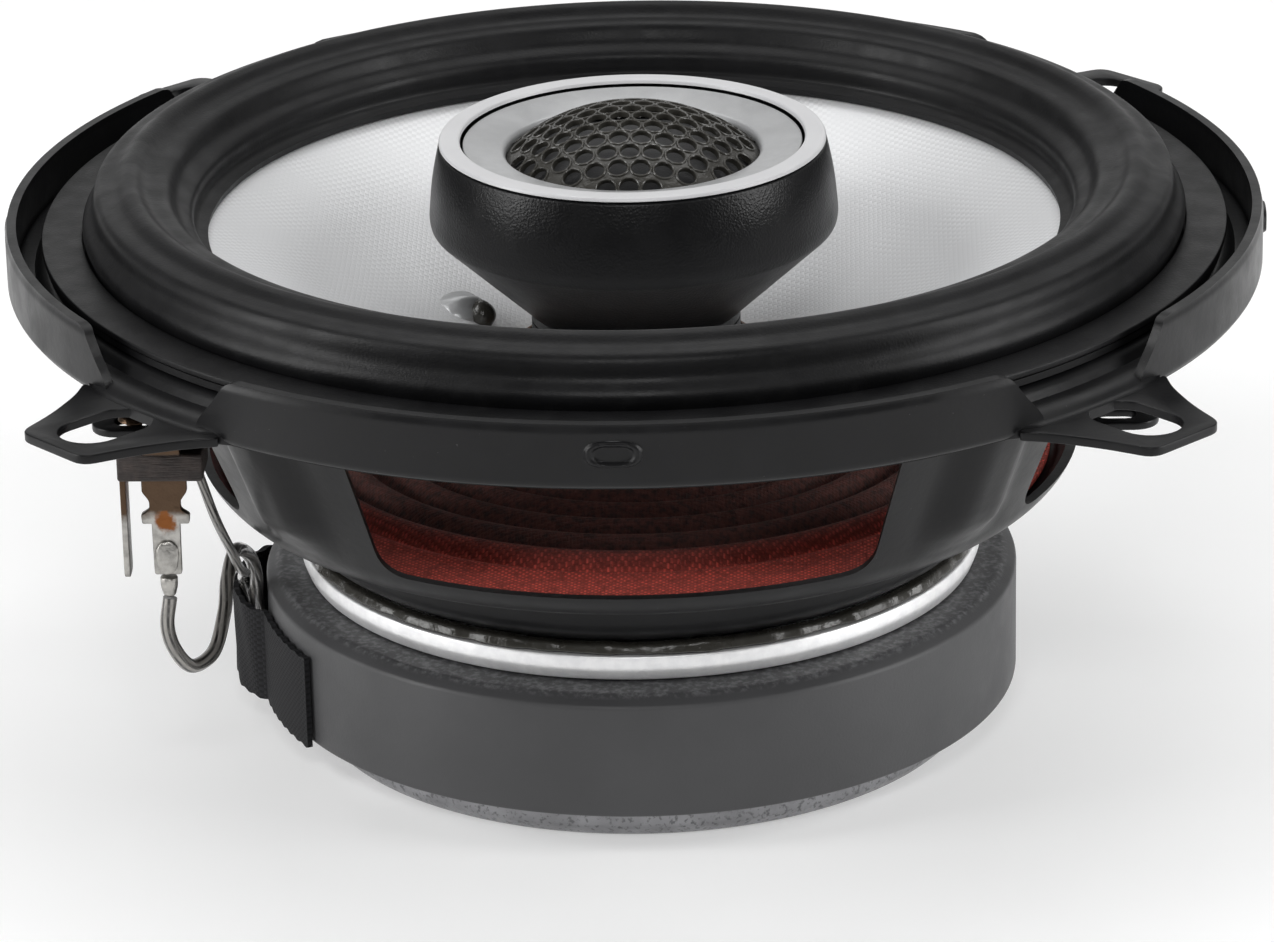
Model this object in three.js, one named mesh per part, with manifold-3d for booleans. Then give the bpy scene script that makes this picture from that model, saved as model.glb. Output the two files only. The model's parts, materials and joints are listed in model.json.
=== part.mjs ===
// A 5 1/4 inch coaxial car loudspeaker: woofer, and a dome tweeter on a post through its middle.
// Millimetres. +Z points at the listener, and z = 0 is the flat back of the motor.
// The four basket windows face +X, -X, +Y and -Y, and the four mounting tabs lie between them.

import * as THREE from 'three';
import { mergeVertices } from 'three/addons/utils/BufferGeometryUtils.js';
import Module from 'manifold-3d';

const wasm = await Module();
wasm.setup();

// Driving dimensions
const GAP = 0.2; // glue line between stacked pieces
const SHEET = 1.0; // thickness of the stamped steel basket
const FRAME_R = 66.7; // outer radius of the upright rim walls
const RIM_TOP = 58.4; // top edge of the rim walls
const TAB_TOP = 52.6; // top face of the mounting tabs
const TAB_TIP = 79.0; // distance of the straight tab tip from the axis
const MAGNET_R = 40.8;
const PLATE_TOP = 4.3; // top of the back plate
const MAGNET_TOP = 17.9;
const TOP_PLATE_R = 36.8;
const TOP_PLATE_TOP = 20.9;
const POLE_R = 12.4;
const VENT_R = 5.0; // bore through the pole, which carries the tweeter leads
const FORMER_R = 13.2; // outside of the voice coil former
const LEDGE_Z = 29.2; // underside of the basket ledge that the spider is glued to
const POST_R = 11.2;
const POST_TOP = 45.0;
const CHANNEL_R = 7.0; // bore of the post that holds the capacitor
const DOME_R = 12.6; // tweeter dome and coil
const TWEETER_TOP = 65.2; // top of the tweeter trim ring
const QUARTER = Math.PI / 2;
const DEG = Math.PI / 180;

// Worked-out levels
const MAGNET_BOTTOM = PLATE_TOP + GAP;
const TOP_PLATE_BOTTOM = MAGNET_TOP + GAP;
const BASE_Z = TOP_PLATE_TOP + GAP; // underside of the basket's foot
const TAB_BOTTOM = TAB_TOP - SHEET;
const STEP_TOP = TAB_TOP + SHEET; // narrow step between tab and shelf
const SHELF_TOP = STEP_TOP + 1.2; // shelf that the surround is glued to
const WALL_INNER_R = FRAME_R - SHEET;
const HOUSING_RIM = TWEETER_TOP - 0.6; // the tweeter's trim ring lies on this

// Finishes: colour, roughness, metalness
const finish = (color, roughness, metalness) =>
  new THREE.MeshStandardMaterial({ color, roughness, metalness });
const blackPaint = finish(0x26272a, 0.42, 0.1);
const zinc = finish(0xb4b6b8, 0.38, 1.0);
const brightSteel = finish(0xdcdedf, 0.22, 1.0);
const ferrite = finish(0x47484b, 0.75, 0.1);
const glue = finish(0x2a2824, 0.3, 0.0);
const rubber = finish(0x1d1e20, 0.72, 0.0);
const wovenCone = finish(0xb9bbbe, 0.5, 0.3);
const spiderCloth = finish(0x6e2a22, 0.9, 0.0);
const kapton = finish(0x9a5a1e, 0.4, 0.0);
const copper = finish(0xb5602c, 0.35, 1.0);
const tinned = finish(0xb9b7b0, 0.35, 1.0);
const phenolic = finish(0x4a3428, 0.7, 0.0);
const clearLead = finish(0xa8a79c, 0.35, 0.2);
const blackPlastic = finish(0x1b1c1e, 0.62, 0.0);
const trimSilver = finish(0xe9e9ea, 0.3, 0.2);
const facePaint = finish(0x8d9094, 0.38, 0.3);
const silk = finish(0x121315, 0.8, 0.0);
const feltBlack = finish(0x202123, 0.95, 0.0);
const capSleeve = finish(0x23324f, 0.45, 0.0);

// Geometry helpers

function closed(points) {
  return [...points, points[0]];
}

// Turns a profile of [radius, z] points about the Z axis.
function lathe(points, segments = 32) {
  const profile = points.map(([r, z]) => new THREE.Vector2(r, z));
  return new THREE.LatheGeometry(profile, segments).rotateX(QUARTER);
}

function ring(innerR, outerR, bottom, top, segments = 32) {
  return lathe(closed([[innerR, bottom], [outerR, bottom], [outerR, top], [innerR, top]]), segments);
}

// A closed profile of even thickness, built to the left of a line of [radius, z] points.
function sheetProfile(line, thickness) {
  const normals = line.slice(1).map(([r, z], i) => {
    const [dr, dz] = [r - line[i][0], z - line[i][1]];
    const length = Math.hypot(dr, dz);
    return [-dz / length, dr / length];
  });
  const offset = line.map(([r, z], i) => {
    const a = normals[Math.max(i - 1, 0)];
    const b = normals[Math.min(i, normals.length - 1)];
    const scale = thickness / (1 + a[0] * b[0] + a[1] * b[1]);
    return [r + (a[0] + b[0]) * scale, z + (a[1] + b[1]) * scale];
  });
  return closed([...line, ...offset.reverse()]);
}

function solid(geometry) {
  const bare = geometry.clone();
  bare.deleteAttribute('normal');
  bare.deleteAttribute('uv');
  const merged = mergeVertices(bare, 1e-4);
  const vertProperties = merged.attributes.position.array;
  const triVerts = new Uint32Array(merged.index.array);
  return new wasm.Manifold(new wasm.Mesh({ numProp: 3, vertProperties, triVerts }));
}

function geometryOf(body) {
  const mesh = body.getMesh();
  const geometry = new THREE.BufferGeometry();
  geometry.setAttribute('position', new THREE.BufferAttribute(new Float32Array(mesh.vertProperties), 3));
  geometry.setIndex(new THREE.BufferAttribute(new Uint32Array(mesh.triVerts), 1));
  geometry.computeVertexNormals();
  return geometry;
}

// A flat outline whose corners are eased by a curve that starts the given distance from each corner.
function easedOutline(corners) {
  const shape = new THREE.Shape();
  corners.forEach(([x, y, ease], i) => {
    const here = new THREE.Vector2(x, y);
    const before = new THREE.Vector2(...corners.at(i - 1).slice(0, 2));
    const after = new THREE.Vector2(...corners[(i + 1) % corners.length].slice(0, 2));
    const into = here.clone().add(before.sub(here).setLength(ease));
    const out = here.clone().add(after.sub(here).setLength(ease));
    if (i === 0) shape.moveTo(into.x, into.y);
    else shape.lineTo(into.x, into.y);
    shape.quadraticCurveTo(x, y, out.x, out.y);
  });
  shape.closePath();
  return shape;
}

function extrude(shape, bottom, top, curveSegments = 4) {
  const options = { depth: top - bottom, bevelEnabled: false, curveSegments };
  return new THREE.ExtrudeGeometry(shape, options).translate(0, 0, bottom);
}

// Extrudes an outline drawn in (sideways, z) outward along X, from x = near to x = far.
function extrudeOutward(shape, near, far, curveSegments = 4) {
  const turn = new THREE.Matrix4().makeBasis(
    new THREE.Vector3(0, 1, 0), new THREE.Vector3(0, 0, 1), new THREE.Vector3(1, 0, 0));
  return extrude(shape, near, far, curveSegments).applyMatrix4(turn);
}

function box(x0, x1, y0, y1, z0, z1) {
  const geometry = new THREE.BoxGeometry(x1 - x0, y1 - y0, z1 - z0);
  return geometry.translate((x0 + x1) / 2, (y0 + y1) / 2, (z0 + z1) / 2);
}

function fourTimes(make, startAngle = 0) {
  return [0, 1, 2, 3].map((k) => solid(make().rotateZ(startAngle + k * QUARTER)));
}

function joined(bodies) {
  return bodies.reduce((whole, body) => whole.add(body));
}

function cut(body, cutters) {
  return cutters.reduce((rest, cutter) => rest.subtract(cutter), body);
}

function polar(radius, degrees, z) {
  return [radius * Math.cos(degrees * DEG), radius * Math.sin(degrees * DEG), z];
}

// A round wire or lead with eight sides along a smooth route.
function wire(route, radius, steps) {
  const sides = 8;
  const corners = Array.from({ length: sides }, (_, i) => {
    const angle = (i * 2 * Math.PI) / sides;
    return new THREE.Vector2(radius * Math.cos(angle), radius * Math.sin(angle));
  });
  const points = route.map((p) => new THREE.Vector3(...p));
  const extrudePath = new THREE.CatmullRomCurve3(points, false, 'centripetal');
  return new THREE.ExtrudeGeometry(new THREE.Shape(corners), { extrudePath, steps, bevelEnabled: false });
}

// Points on an arc in the (radius, z) plane, about a centre, between two angles in degrees.
function arc(centreR, centreZ, radiusR, radiusZ, from, to, count) {
  return Array.from({ length: count + 1 }, (_, i) => {
    const angle = (from + ((to - from) * i) / count) * DEG;
    return [centreR + radiusR * Math.cos(angle), centreZ + radiusZ * Math.sin(angle)];
  });
}

// Woofer motor

const LEAD_ANGLE = -188; // where the tweeter leads cross the back plate, in degrees
const LEAD_GROOVE = { width: 4.0, depth: 2.4 };

function backPlatePole() {
  const profile = closed([
    [VENT_R, 0], [35.4, 0], [36.4, 0.5], [36.9, 1.6], [36.9, PLATE_TOP],
    [POLE_R, PLATE_TOP], [POLE_R, TOP_PLATE_TOP + 0.5], [VENT_R, TOP_PLATE_TOP + 0.5],
  ]);
  const { width, depth } = LEAD_GROOVE;
  const groove = box(1, 40, -width / 2, width / 2, -1, depth).rotateZ(LEAD_ANGLE * DEG);
  return geometryOf(cut(solid(lathe(profile, 40)), [solid(groove)]));
}

function ferriteMagnet() {
  const edge = 1.0; // chamfer round the top edge
  return lathe(closed([
    [17, MAGNET_BOTTOM], [MAGNET_R - 0.4, MAGNET_BOTTOM], [MAGNET_R, MAGNET_BOTTOM + 0.4],
    [MAGNET_R, MAGNET_TOP - edge], [MAGNET_R - 1.5 * edge, MAGNET_TOP], [17, MAGNET_TOP],
  ]), 40);
}

function topPlate() {
  return ring(14.25, TOP_PLATE_R, TOP_PLATE_BOTTOM, TOP_PLATE_TOP, 40);
}

function glueBead() {
  const z = TOP_PLATE_TOP + GAP;
  return lathe(closed([[34.3, z], [36.6, z], [36.2, z + 0.9], [35.4, z + 1.0]]));
}

// Basket

const WINDOW = { bottom: 32.0, top: 50.8, halfBottom: 24.9, halfTop: 29.2, corner: 3.0 };
const RIB = { height: 2.3, halfWidth: 6.9, bottom: 33.0, top: 49.0 };
const SLOT = { inner: 70.3, outer: 73.9, radius: 3.3 };

// A stiffening rib is pressed outward along the middle of each arm.
function raiseRibs(geometry) {
  const position = geometry.attributes.position;
  const point = new THREE.Vector3();
  for (let i = 0; i < position.count; i += 1) {
    point.fromBufferAttribute(position, i);
    const radius = Math.hypot(point.x, point.y);
    const angle = Math.atan2(point.y, point.x);
    const fromArm = (((angle % QUARTER) + QUARTER) % QUARTER) - QUARTER / 2;
    const across = Math.min(Math.abs(fromArm * radius) / RIB.halfWidth, 1);
    const onArm = point.z > RIB.bottom - 1 && point.z < RIB.top + 1;
    const lift = onArm ? RIB.height * Math.cos((across * Math.PI) / 2) ** 2 : 0;
    position.setXY(i, point.x * (1 + lift / radius), point.y * (1 + lift / radius));
  }
  return geometry;
}

function basketShell() {
  const underside = [
    [18, BASE_Z], [33.4, BASE_Z], [37.6, 23.6], [39.6, 28.0], [41.2, LEDGE_Z],
    [45.4, LEDGE_Z], [47.0, 31.0], [47.8, RIB.bottom], [54.5, RIB.top], [56.6, 53.2],
    [58.6, SHELF_TOP - SHEET], [62.2, SHELF_TOP - SHEET],
    [63.0, STEP_TOP - SHEET], [FRAME_R - 0.5, STEP_TOP - SHEET],
  ];
  return solid(raiseRibs(lathe(sheetProfile(underside, SHEET), 48)));
}

function rimWall() {
  return solid(lathe(closed([
    [WALL_INNER_R, TAB_BOTTOM], [FRAME_R - 0.3, TAB_BOTTOM], [FRAME_R, TAB_BOTTOM + 0.3],
    [FRAME_R, RIM_TOP], [WALL_INNER_R, RIM_TOP],
  ]), 48));
}

function windowCutter() {
  const { bottom, top, halfBottom, halfTop, corner } = WINDOW;
  const outline = easedOutline([
    [-halfBottom, bottom, corner], [halfBottom, bottom, corner],
    [halfTop, top, corner], [-halfTop, top, corner],
  ]);
  return extrudeOutward(outline, 30, 60, 2);
}

// The rim wall is open over each tab; its ends rise in a curve from the step.
function rimGapCutter() {
  const outline = easedOutline([
    [-7.6, STEP_TOP, 1.5], [7.6, STEP_TOP, 1.5], [10.0, RIM_TOP - 0.8, 1.4], [14.0, RIM_TOP + 0.8, 1.2],
    [-14.0, RIM_TOP + 0.8, 1.2], [-10.0, RIM_TOP - 0.8, 1.4],
  ]);
  return extrudeOutward(outline, 60, 72, 2);
}

function tab() {
  const rootR = FRAME_R - 0.5;
  const rootAngle = 9.8 * DEG;
  const [rootU, rootV] = [rootR * Math.cos(rootAngle), rootR * Math.sin(rootAngle)];
  const shape = new THREE.Shape();
  shape.moveTo(rootU, -rootV);
  shape.quadraticCurveTo(67.2, -9.5, 69.4, -8.6);
  shape.lineTo(TAB_TIP - 1.6, -5.5);
  shape.quadraticCurveTo(TAB_TIP, -4.9, TAB_TIP, -3.4);
  shape.lineTo(TAB_TIP, 3.4);
  shape.quadraticCurveTo(TAB_TIP, 4.9, TAB_TIP - 1.6, 5.5);
  shape.lineTo(69.4, 8.6);
  shape.quadraticCurveTo(67.2, 9.5, rootU, rootV);
  shape.absarc(0, 0, rootR, rootAngle, -rootAngle, true);
  const slot = new THREE.Path();
  slot.absarc(SLOT.inner, 0, SLOT.radius, QUARTER, 3 * QUARTER, false);
  slot.absarc(SLOT.outer, 0, SLOT.radius, -QUARTER, QUARTER, false);
  shape.holes.push(slot);
  return extrude(shape, TAB_BOTTOM, TAB_TOP, 4);
}

// A small pressed pip in the middle of each rim wall.
function wallPip() {
  const [half, low, high, ease] = [2.9, 54.1, 56.7, 1.2];
  const outline = easedOutline([[-half, low, ease], [half, low, ease], [half, high, ease], [-half, high, ease]]);
  return extrudeOutward(outline, FRAME_R - 0.4, FRAME_R + 0.3, 2);
}

// Two ears stick out sideways under the front tabs, to take a terminal on either side.
const EAR = { y: -39.2, halfWidth: 2.6, end: 53.9, bottom: 47.6, top: 48.4, holeX: 49.6 };

function ear() {
  const { y, halfWidth, end, bottom, top, holeX } = EAR;
  const shape = new THREE.Shape();
  shape.moveTo(34.4, y - halfWidth);
  shape.lineTo(end - halfWidth, y - halfWidth);
  shape.absarc(end - halfWidth, y, halfWidth, -QUARTER, QUARTER, false);
  shape.lineTo(38.6, y + halfWidth);
  const hole = new THREE.Path();
  hole.absarc(holeX + 0.9, y, 1.1, -QUARTER, QUARTER, false);
  hole.absarc(holeX - 0.9, y, 1.1, QUARTER, 3 * QUARTER, false);
  shape.holes.push(hole);
  return extrude(shape, bottom, top, 3);
}

function mirroredX(body) {
  return body.mirror([1, 0, 0]);
}

function basket() {
  const whole = joined([
    basketShell(), cut(rimWall(), fourTimes(rimGapCutter, QUARTER / 2)),
    ...fourTimes(tab, QUARTER / 2), ...fourTimes(wallPip),
    solid(ear()), mirroredX(solid(ear())),
  ]);
  return geometryOf(cut(whole, fourTimes(windowCutter)));
}

// Woofer cone and suspension

const SURROUND_THICKNESS = 0.8;

function coneLine() {
  return [[13.7, 38.9], [17.5, 40.6], [24.0, 43.7], [32.0, 47.9], [40.0, 52.1], [47.0, 55.0]];
}

function cone() {
  return lathe(sheetProfile(coneLine(), 0.55));
}

// The line runs along the top, from the lip under the gasket over the roll to the cone's edge.
function surround() {
  const lip = SHELF_TOP + GAP + SURROUND_THICKNESS;
  const line = [
    [62.4, lip], [58.2, lip], [57.7, 58.8], [56.8, 60.8], [55.4, 62.1], [53.8, 62.6], [52.2, 62.2],
    [50.4, 61.4], [48.7, 60.2], [47.4, 58.4], [46.7, 56.6], [45.3, 56.1],
  ];
  return lathe(sheetProfile(line, SURROUND_THICKNESS));
}

function gasketRing() {
  const bottom = SHELF_TOP + 2 * GAP + SURROUND_THICKNESS;
  return ring(58.5, 62.9, bottom, bottom + 0.7, 48);
}

function spider() {
  const folds = 4;
  const pitch = 4.3;
  const outerFold = 36.4;
  const waves = Array.from({ length: 2 * folds + 1 }, (_, i) => {
    const r = outerFold - (i * pitch) / 2;
    return [r, 31.3 + (i % 2 === 0 ? 0.9 : -0.9)];
  }).reverse();
  return lathe(sheetProfile([[FORMER_R + 0.2, 31.3], ...waves, [44.4, LEDGE_Z + SHEET + 0.3]], 0.5));
}

function voiceCoilFormer() {
  return ring(FORMER_R - 0.35, FORMER_R, 12.5, 41.4);
}

function voiceCoil() {
  return ring(FORMER_R + 0.05, FORMER_R + 0.5, 15, 24);
}

// A dab of glue over the place where the coil's wires come through the cone.
const CONE_LEADS = { radius: 19.6, angle: 156 };

function leadGlue() {
  const [x, y] = polar(CONE_LEADS.radius, CONE_LEADS.angle, 0);
  const dab = new THREE.SphereGeometry(1, 12, 8).scale(3.4, 2.0, 1.7);
  dab.rotateZ(CONE_LEADS.angle * DEG).translate(x, y, 42.6);
  const line = coneLine().map(([r, z]) => [r, z + 0.75]);
  const above = lathe(closed([...line, [47, 70], [13.7, 70]]));
  return geometryOf(solid(dab).intersect(solid(above)));
}

// Tinsel leads hang from the cone to the terminal board through the left window.
function tinselLead(side) {
  const angle = CONE_LEADS.angle - 5 * side;
  const route = [
    polar(CONE_LEADS.radius, angle, 40.2), polar(23, angle + 4, 38.0), [-31 - 0.8 * side, 2 + 1.6 * side, 36.6],
    [-40 - 1.4 * side, -10 + 1.4 * side, 38.6], [-48 - 1.8 * side, -22 + side, 42.4],
    [-49.2 - 1.8 * side, -29, 44.2], [-47.2 - 1.8 * side, -35.6, 44.4],
  ];
  return wire(route, 0.45, 16);
}

// Terminal

const BOARD = { x0: -51.3, x1: -42.6, y0: -42.2, y1: -36.2, bottom: 42.9, top: 45.9 };

function terminalBoard() {
  const { x0, x1, y0, y1, bottom, top } = BOARD;
  return extrude(easedOutline([[x0, y0, 0.5], [x1, y0, 0.5], [x1, y1, 0.5], [x0, y1, 0.5]]), bottom, top, 2);
}

function terminalBracket() {
  const foot = solid(box(-51.0, -43.4, -41.6, -37.0, BOARD.top + GAP, BOARD.top + 0.8));
  const post = solid(box(-51.0, -46.4, -41.0, -37.6, BOARD.top + 0.5, EAR.bottom - GAP));
  return geometryOf(foot.add(post));
}

function terminalRivet() {
  const top = EAR.top + GAP;
  const half = [
    [0, EAR.bottom], [0.8, EAR.bottom], [0.8, top], [1.7, top], [1.3, top + 0.6], [0, top + 0.7],
  ];
  return lathe(half, 16).translate(-EAR.holeX, EAR.y, 0);
}

function terminalEyelet() {
  const tube = ring(0.4, 0.75, -1.9, 1.9, 12);
  return tube.rotateY(QUARTER).translate(-46.6, -42.6, BOARD.top + 0.85);
}

// The solder tag faces outward: shoulders, a waist, two ears and a 2.8 mm blade.
const TAG = { x: -46.9, y: -39.3, bottom: 31.7, thickness: 0.8 };

function terminalBladeWide() {
  const top = BOARD.bottom - GAP;
  const half = [
    [1.4, TAG.bottom], [1.45, 37.3], [2.4, 37.3], [2.5, 38.3], [1.6, 38.9], [1.6, 39.8], [2.3, 40.8], [2.3, top],
  ];
  const shape = new THREE.Shape([
    ...half.map(([x, z]) => new THREE.Vector2(x, z)),
    ...half.reverse().map(([x, z]) => new THREE.Vector2(-x, z)),
  ]);
  const flat = extrude(shape, -TAG.thickness / 2, TAG.thickness / 2);
  return flat.rotateX(QUARTER).translate(TAG.x, TAG.y, 0);
}

function terminalBladeNarrow() {
  const top = BOARD.bottom - GAP;
  const outline = easedOutline([[-40.6, 31.6, 0.8], [-37.8, 31.6, 0.8], [-37.8, top, 0.3], [-40.6, top, 0.3]]);
  return extrudeOutward(outline, BOARD.x0, BOARD.x0 + 0.6, 2);
}

function solderJoint() {
  const drop = lathe([[0, 29.2], [0.5, 29.4], [0.85, 30.2], [0.9, 31.4], [0, 31.45]], 12);
  return drop.translate(TAG.x, TAG.y, 0);
}

// Tweeter leads: from the terminal down to the magnet's side, under it, and up the vent to the tweeter

const BUNDLE_R = MAGNET_R + 0.3 + 0.75; // distance of the leads from the axis beside the magnet

function leadA() {
  return wire([
    [TAG.x, TAG.y, 29.0], [-47.3, -39.5, 26.1], [-46.9, -38.5, 23.1], [-45.4, -36.5, 20.1],
    [-43.5, -33.5, 20.2], [-42.6, -29.0, 22.8], [-42.6, -24.5, 24.7], [-42.2, -20.0, 26.0],
    [-41.4, -14.0, 23.1], [-41.3, -8.5, 18.4], polar(42.0, -173.5, 14.3), polar(42.0, -180, 9.5),
    polar(BUNDLE_R, -186, 4.8), polar(40.6, -187, 2.0), polar(38.4, -187, 1.3), polar(24, -186.6, 1.3),
    polar(9, -183, 1.3), [-3.9, -0.3, 1.6], [-2.6, -0.4, 5.0], [-1.9, -1.2, 14], [-1.9, -0.8, 23.4],
  ], 0.75, 46);
}

function leadB() {
  return wire([
    [-43.3, -39.4, BOARD.bottom - GAP], [-42.3, -36.0, 36.6], [-41.4, -30.0, 30.2], [-41.0, -26.5, 26.8],
    [-40.9, -22.5, 24.6], [-41.5, -18.0, 22.6], [-42.4, -12.0, 19.7], polar(43.2, -178, 13.9),
    polar(42.8, -184.5, 8.8), polar(BUNDLE_R, -189.5, 4.6), polar(40.4, -189.8, 1.9), polar(38.2, -189.6, 1.2),
    polar(24, -190.4, 1.2), polar(9, -194, 1.2), [-1.7, 1.7, 1.8], [0.8, 1.6, 5.4], [2.4, 0.4, 14],
    [2.4, 0.2, 24], [4.2, 0, 34], [4.4, 0, 44], [5.0, 0, 47.9], [6.3, 0, 50.2], [9.0, 0, 50.5],
    [12.6, 0, 50.4], [13.6, 0, 50.6], [15.6, 0, 52.8], [16.5, 0, 54.3], [17.1, 0, 56], [17.3, 0, 58.6],
  ], 0.5, 64);
}

// From the capacitor to the other side of the tweeter coil.
function leadC() {
  return wire([
    [-1.9, 0, 38.2], [-3.4, 0, 42.6], [-5.0, 0, 47.9], [-6.3, 0, 50.2], [-9.0, 0, 50.5], [-12.6, 0, 50.4],
    [-13.6, 0, 50.6], [-15.6, 0, 52.8], [-16.5, 0, 54.3], [-17.1, 0, 56], [-17.3, 0, 58.6],
  ], 0.5, 24);
}

function capacitor() {
  return lathe([[0, 24.2], [2.9, 24.2], [3.1, 24.6], [3.1, 36.9], [2.9, 37.4], [0, 37.4]], 16)
    .translate(-1.9, 0, 0);
}

// Black cloth tape that holds the leads against the magnet.
function leadTape() {
  const inner = MAGNET_R + 0.25;
  const bulge = 3.0;
  const [from, to] = [-147.5, -194];
  const steps = 18;
  const edge = (lift) => Array.from({ length: steps + 1 }, (_, i) => {
    const angle = from + ((to - from) * i) / steps;
    const near = Math.min(Math.abs(angle + 180) / 13, 1);
    const [x, y] = polar(inner + lift + bulge * Math.sqrt(Math.cos(near * QUARTER)), angle, 0);
    return new THREE.Vector2(x, y);
  });
  const shape = new THREE.Shape([...edge(0), ...edge(0.6).reverse()]);
  return extrude(shape, 4.2, 14.5);
}

// Tweeter

function tweeterPost() {
  const shoulder = TOP_PLATE_TOP + 0.5 + GAP;
  return lathe(closed([
    [3.6, 17.6], [VENT_R - GAP, 17.6], [VENT_R - GAP, shoulder], [POST_R, shoulder],
    [POST_R, POST_TOP - GAP], [CHANNEL_R, POST_TOP - GAP], [CHANNEL_R, shoulder + 1.6], [3.6, shoulder + 1.6],
  ]), 32);
}

function tweeterHousing() {
  const profile = closed([
    [CHANNEL_R, POST_TOP], [POST_R, POST_TOP], [POST_R, 45.9], [21.6, 55.6], [21.8, 56.6],
    [20.6, HOUSING_RIM], [19.0, HOUSING_RIM], [20.2, 57.2], [15.3, 51.2], [CHANNEL_R, 51.2],
  ]);
  const side = new THREE.Shape(
    [[1, 49.75], [13.9, 49.75], [16.3, 52.4], [1, 52.4]].map(([r, z]) => new THREE.Vector2(r, z)));
  const groove = extrude(side, -1.3, 1.3).rotateX(QUARTER);
  return geometryOf(cut(solid(lathe(profile, 36)), [solid(groove), solid(groove.clone().rotateZ(Math.PI))]));
}

function tweeterYokeCup() {
  const floor = 51.2 + GAP;
  return lathe([
    [0, floor], [13.2, floor], [14.6, floor + 1.6], [14.6, 60.4], [DOME_R + 0.8, 60.4], [DOME_R + 0.8, floor + 2],
    [0, floor + 2],
  ], 32);
}

function disc(radius, bottom, top, segments = 28) {
  return lathe([[0, bottom], [radius, bottom], [radius, top], [0, top]], segments);
}

function tweeterDome() {
  const rise = 2.6;
  const top = arc(0, 61.9, DOME_R, rise, 0, 90, 4);
  const under = arc(0, 61.5, DOME_R - 0.4, rise, 0, 90, 4).reverse();
  return lathe([[0, 61.5 + rise], ...under.slice(1), ...top.slice(0, -1), [0, 61.9 + rise]], 24);
}

function tweeterSuspension() {
  return lathe(closed([
    [DOME_R + 0.2, 61.5], [16.4, 61.0], [16.4, 61.4], [14.2, 62.2], [DOME_R + 0.2, 61.9],
  ]), 32);
}

function tweeterFacePlate() {
  return lathe(closed([
    [13.5, 62.7], [17.9, 62.7], [18.0, 64.5], [13.7, 63.7], [13.5, 63.4],
  ]), 40);
}

function tweeterTrimRing() {
  const bottom = HOUSING_RIM + GAP;
  return lathe(closed([
    [18.3, bottom], [20.5, bottom], [20.3, TWEETER_TOP], [18.6, TWEETER_TOP], [18.3, TWEETER_TOP - 0.2],
  ]), 40);
}

// A shallow dome pierced by a honeycomb of holes.
const GRILLE = { baseR: 13.2, base: 62.9, apex: 68.0, thickness: 0.5, pitch: 2.4, holeR: 0.95, patternR: 12.0 };

function tweeterGrille() {
  const { baseR, base, apex, thickness, pitch, holeR, patternR } = GRILLE;
  const sphereR = (baseR ** 2 + (apex - base) ** 2) / (2 * (apex - base));
  const spread = Math.asin(baseR / sphereR) / DEG;
  const centre = apex - sphereR;
  const top = arc(0, centre, sphereR, sphereR, 90 - spread, 90, 3);
  const inner = sphereR - thickness;
  const under = arc(0, centre, inner, inner, 90 - spread, 90, 3).reverse();
  let body = solid(lathe([[0, apex - thickness], ...under.slice(1), ...top.slice(0, -1), [0, apex]], 20));
  const rows = Math.ceil(patternR / (pitch * 0.866));
  const hole = solid(new THREE.CylinderGeometry(holeR, holeR, 8, 6).rotateX(QUARTER).translate(0, 0, apex - 3));
  for (let row = -rows; row <= rows; row += 1) {
    for (let column = -rows - 2; column <= rows + 2; column += 1) {
      const x = (column + (row % 2 === 0 ? 0 : 0.5)) * pitch;
      const y = row * pitch * Math.sin(60 * DEG);
      if (Math.hypot(x, y) < patternR) body = body.subtract(hole.translate([x, y, 0]));
    }
  }
  return geometryOf(body);
}

// The assembly

const group = new THREE.Group();

function add(name, geometry, material) {
  const mesh = new THREE.Mesh(geometry, material);
  mesh.name = name;
  group.add(mesh);
}

add('back_plate_pole', backPlatePole(), zinc);
add('ferrite_magnet', ferriteMagnet(), ferrite);
add('top_plate', topPlate(), brightSteel);
add('basket_glue_bead', glueBead(), glue);
add('basket', basket(), blackPaint);
add('surround', surround(), rubber);
add('gasket_ring', gasketRing(), rubber);
add('cone', cone(), wovenCone);
add('spider', spider(), spiderCloth);
add('voice_coil_former', voiceCoilFormer(), kapton);
add('voice_coil', voiceCoil(), copper);
add('cone_lead_glue', leadGlue(), glue);
add('tinsel_lead_a', tinselLead(1), copper);
add('tinsel_lead_b', tinselLead(-1), copper);
add('terminal_board', terminalBoard(), phenolic);
add('terminal_bracket', terminalBracket(), blackPaint);
add('terminal_rivet', terminalRivet(), tinned);
add('terminal_eyelet', terminalEyelet(), tinned);
add('terminal_blade_wide', terminalBladeWide(), tinned);
add('terminal_blade_narrow', terminalBladeNarrow(), tinned);
add('terminal_solder', solderJoint(), tinned);
add('tweeter_lead_a', leadA(), clearLead);
add('tweeter_lead_b', leadB(), clearLead);
add('tweeter_lead_c', leadC(), clearLead);
add('tweeter_capacitor', capacitor(), capSleeve);
add('lead_tape', leadTape(), feltBlack);
add('tweeter_post', tweeterPost(), blackPlastic);
add('tweeter_housing', tweeterHousing(), blackPlastic);
add('tweeter_yoke_cup', tweeterYokeCup(), zinc);
add('tweeter_magnet', disc(11.6, 53.6, 57.2), brightSteel);
add('tweeter_pole_plate', disc(12.0, 57.4, 60.2), zinc);
add('tweeter_voice_coil', ring(12.2, DOME_R - 0.05, 57.6, 61.2), copper);
add('tweeter_dome', tweeterDome(), silk);
add('tweeter_suspension', tweeterSuspension(), silk);
add('tweeter_face_plate', tweeterFacePlate(), facePaint);
add('tweeter_trim_ring', tweeterTrimRing(), trimSilver);
add('tweeter_grille', tweeterGrille(), blackPlastic);

export default group;
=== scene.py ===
"""How the coaxial car speaker looks. Lengths in this file are in millimetres; Blender gets metres."""

import json
import math

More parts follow.
